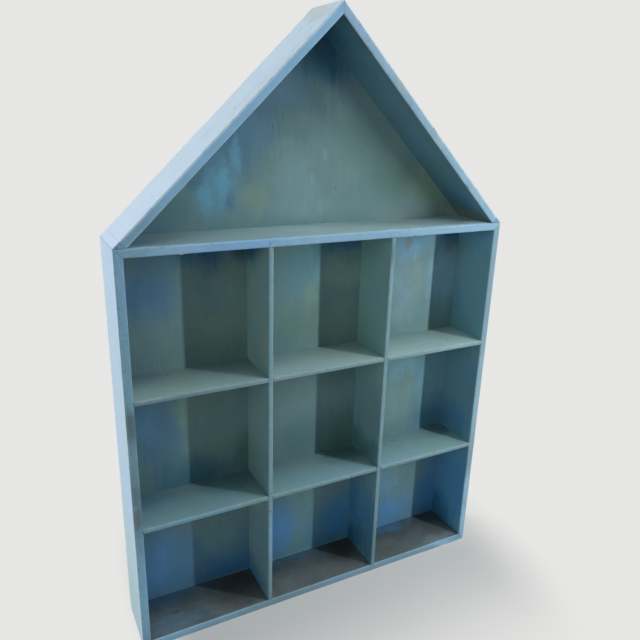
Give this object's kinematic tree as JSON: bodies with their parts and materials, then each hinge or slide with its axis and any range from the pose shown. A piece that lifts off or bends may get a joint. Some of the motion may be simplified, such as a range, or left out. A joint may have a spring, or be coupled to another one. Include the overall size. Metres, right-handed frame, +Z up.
{
  "type": "house-shaped wall shelf",
  "caption": "House-shaped display shelf of painted boards: a mitred box divided into square compartments by lapped partitions, with an open gable bay on top and a let-in back panel.",
  "frame": {"origin": "on the floor under the base board, at the middle of the width and of the depth", "axes": "+X to the right as seen from the open front, +Y from the open front to the wall, +Z up"},
  "size_m": [0.4, 0.059, 0.597],
  "materials": {
    "side_paint": "pale blue brushed paint, satin, rubbed thin on the edges",
    "base_paint": "grey-blue brushed paint, satin, stained grey-brown on the upper faces",
    "roof_paint": "mid blue brushed paint, satin, paler on the rubbed edges",
    "fillet_paint": "filler painted over in mottled blue-grey",
    "partition_paint": "grey-green brushed paint, satin",
    "panel_paint": "blue and teal paint washed over each other in upright strokes",
    "bare_wire": "galvanised wire"
  },
  "bodies": {
    "root": {"left_side": "side_paint", "right_side": "side_paint", "base_board": "base_paint", "attic_board": "base_paint", "left_roof_board": "roof_paint", "right_roof_board": "roof_paint", "left_eave_fillet": "fillet_paint", "right_eave_fillet": "fillet_paint", "left_divider": "partition_paint", "right_divider": "partition_paint", "upper_shelf": "partition_paint", "lower_shelf": "partition_paint", "back_panel": "panel_paint", "box_corner_brads": "bare_wire", "ridge_brads": "bare_wire", "eave_brads": "bare_wire", "divider_brads": "bare_wire", "shelf_brads": "bare_wire", "panel_staples": "bare_wire"}
  },
  "joints": []
}
